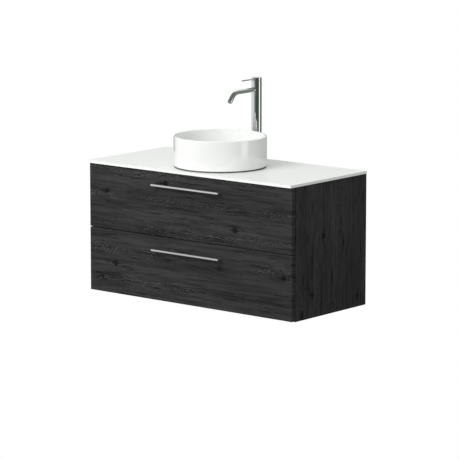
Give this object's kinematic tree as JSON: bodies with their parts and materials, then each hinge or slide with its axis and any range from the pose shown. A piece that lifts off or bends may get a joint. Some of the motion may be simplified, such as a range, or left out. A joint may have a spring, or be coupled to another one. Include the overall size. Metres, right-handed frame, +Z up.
{
  "type": "wall-hung vanity with vessel basin",
  "caption": "Wall-hung black wood-grain vanity with full-width drawers, thin white countertop, round vessel basin and a tall pillar mixer.",
  "frame": {"origin": "on the rear face of the hanging rail, at the middle of the cabinet's width and 50 mm under the countertop's underside", "axes": "+X along the wall, to the right as seen from the front; +Y into the wall; +Z up"},
  "size_m": [1.004, 0.48, 0.837],
  "materials": {
    "front_wood": "black stained wood-grain laminate, horizontal grain, matt",
    "side_wood": "black stained wood-grain laminate, vertical grain, matt",
    "carcass_board": "black melamine-faced board, matt",
    "bracket_steel": "zinc-plated pressed steel",
    "countertop": "white solid surface, satin",
    "basin_glaze": "white gloss glaze",
    "chrome": "polished chrome plate",
    "seal_rubber": "matt black rubber",
    "fitting_brass": "machined brass",
    "cartridge_plastic": "moulded grey plastic",
    "handle_steel": "brushed stainless steel, grain along the bar",
    "drawer_metal": "anthracite powder coat",
    "drawer_board": "anthracite melamine-faced board",
    "siphon_plastic": "anthracite moulded plastic",
    "runner_steel": "zinc-plated roll-formed steel"
  },
  "bodies": {
    "cabinet": {"left_side_panel": "side_wood", "right_side_panel": "side_wood", "bottom_panel": "carcass_board", "front_top_rail": "carcass_board", "back_top_rail": "carcass_board", "back_bottom_rail": "carcass_board", "hanging_bracket_left": "bracket_steel", "hanging_bracket_right": "bracket_steel", "countertop": "countertop", "basin": "basin_glaze", "waste_body": "chrome", "trap_inlet_pipe": "chrome", "trap_inlet_nut": "chrome", "trap_body": "chrome", "trap_cup": "chrome", "trap_outlet_pipe": "chrome", "trap_outlet_nut": "chrome", "wall_rosette": "chrome", "tap_column": "chrome", "tap_spout": "chrome", "tap_retaining_ring": "chrome", "waste_seal": "seal_rubber", "waste_washer": "seal_rubber", "tap_washer": "seal_rubber", "waste_nut": "fitting_brass", "tap_shank": "fitting_brass", "tap_nut": "fitting_brass", "tap_cartridge": "cartridge_plastic", "tap_aerator": "cartridge_plastic", "upper_runner_cabinet_left": "runner_steel", "upper_runner_cabinet_right": "runner_steel", "lower_runner_cabinet_left": "runner_steel", "lower_runner_cabinet_right": "runner_steel"},
    "upper_drawer": {"upper_drawer_front": "front_wood", "upper_drawer_handle": "handle_steel", "upper_drawer_side_left": "drawer_metal", "upper_drawer_side_right": "drawer_metal", "upper_drawer_base": "drawer_board", "upper_drawer_siphon_wall": "siphon_plastic", "upper_drawer_back_left": "drawer_board", "upper_drawer_back_right": "drawer_board", "upper_runner_drawer_left": "runner_steel", "upper_runner_drawer_right": "runner_steel"},
    "upper_runner_middles": {"upper_runner_middle_left": "runner_steel", "upper_runner_middle_right": "runner_steel"},
    "lower_drawer": {"lower_drawer_front": "front_wood", "lower_drawer_handle": "handle_steel", "lower_drawer_side_left": "drawer_metal", "lower_drawer_side_right": "drawer_metal", "lower_drawer_base": "drawer_board", "lower_drawer_back": "drawer_board", "lower_runner_drawer_left": "runner_steel", "lower_runner_drawer_right": "runner_steel"},
    "lower_runner_middles": {"lower_runner_middle_left": "runner_steel", "lower_runner_middle_right": "runner_steel"},
    "mixer_turret": {"tap_turret": "fitting_brass"},
    "mixer_handle": {"tap_cap": "chrome", "tap_lever": "chrome", "tap_stem": "fitting_brass"},
    "drain_plug": {"waste_plug": "chrome"}
  },
  "joints": [
    {"name": "upper_drawer_slide", "type": "slide", "parent": "cabinet", "child": "upper_drawer", "axis": [0, -1, 0], "range_m": [0, 0.37]},
    {"name": "upper_runner_slide", "type": "slide", "parent": "cabinet", "child": "upper_runner_middles", "axis": [0, -1, 0], "range_m": [0, 0.185]},
    {"name": "lower_drawer_slide", "type": "slide", "parent": "cabinet", "child": "lower_drawer", "axis": [0, -1, 0], "range_m": [0, 0.37]},
    {"name": "lower_runner_slide", "type": "slide", "parent": "cabinet", "child": "lower_runner_middles", "axis": [0, -1, 0], "range_m": [0, 0.185]},
    {"name": "mixer_temperature", "type": "hinge", "parent": "cabinet", "child": "mixer_turret", "pos_m": [0, -0.0436, 0.356], "axis": [0, 0, 1], "range_deg": [-45, 45]},
    {"name": "mixer_flow", "type": "hinge", "parent": "mixer_turret", "child": "mixer_handle", "pos_m": [0, -0.0436, 0.356], "axis": [-1, 0, 0], "range_deg": [0, 20]},
    {"name": "drain_plug_lift", "type": "slide", "parent": "cabinet", "child": "drain_plug", "axis": [0, 0, 1], "range_m": [0, 0.008]}
  ],
  "couplings": [
    {"joint": "upper_runner_slide", "follows": "upper_drawer_slide", "ratio": 0.5},
    {"joint": "lower_runner_slide", "follows": "lower_drawer_slide", "ratio": 0.5}
  ]
}
